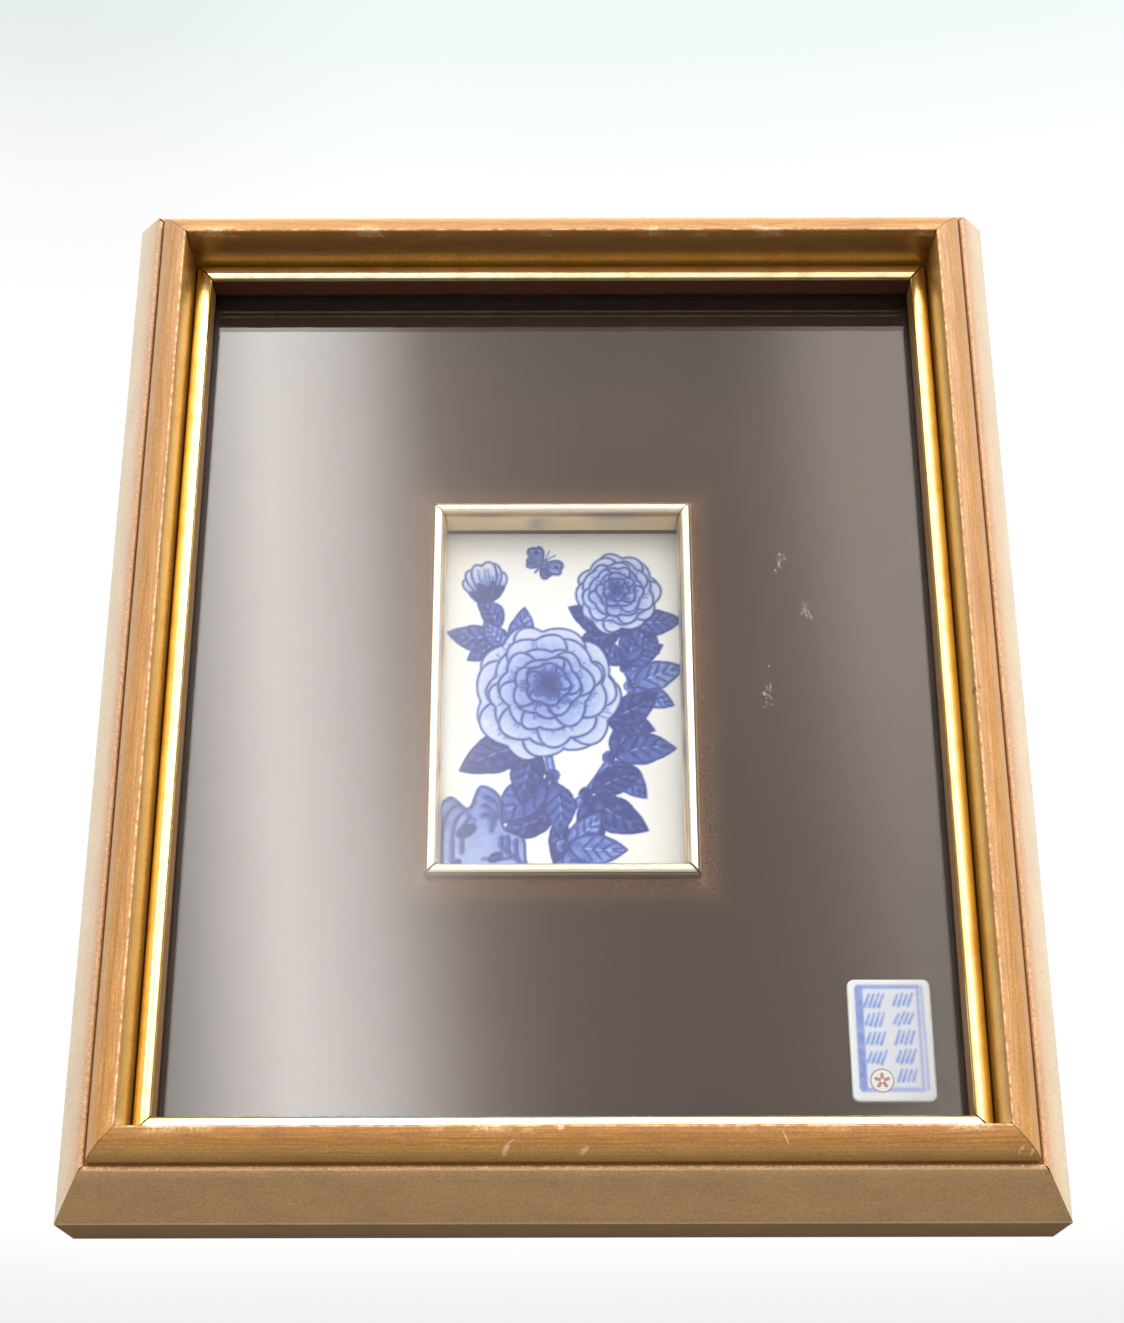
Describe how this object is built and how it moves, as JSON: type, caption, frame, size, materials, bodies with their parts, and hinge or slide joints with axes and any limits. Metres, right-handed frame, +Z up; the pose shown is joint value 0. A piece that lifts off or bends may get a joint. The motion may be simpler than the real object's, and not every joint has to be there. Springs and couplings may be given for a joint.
{
  "type": "framed porcelain panel",
  "caption": "Small painted porcelain tile behind the window of a dark mat, under glass in a deep mitred wooden box frame with gold inner edges, made to hang on a wall.",
  "frame": {"origin": "centre of the flat back, on the wall plane", "axes": "+Z up to the top of the picture, -Y out of the face towards the viewer, +X to the viewer's right"},
  "size_m": [0.235, 0.0491, 0.272],
  "materials": {
    "washed_wood": "tan washed wood, semi-matt, worn on the arrises",
    "bright_gold": "bright gold foil on a wooden strip",
    "pale_gold": "pale champagne gold foil on a wooden strip",
    "window_glass": "clear picture glass",
    "dark_mat": "dark maroon-brown fine-grained covering",
    "glazed_porcelain": "cool white glaze with blue painting under it",
    "glazed_plaque": "cool white glaze with a blue border and a small red mark",
    "pressed_board": "plain brown pressed wood-fibre board"
  },
  "bodies": {
    "root": {"rail_top": "washed_wood", "rail_bottom": "washed_wood", "rail_left": "washed_wood", "rail_right": "washed_wood", "slip_top": "bright_gold", "slip_bottom": "bright_gold", "slip_left": "bright_gold", "slip_right": "bright_gold", "fillet_top": "pale_gold", "fillet_bottom": "pale_gold", "fillet_left": "pale_gold", "fillet_right": "pale_gold", "glass_pane": "window_glass", "mat_board": "dark_mat", "porcelain_tile": "glazed_porcelain", "small_plaque": "glazed_plaque", "backing_board": "pressed_board"}
  },
  "joints": []
}
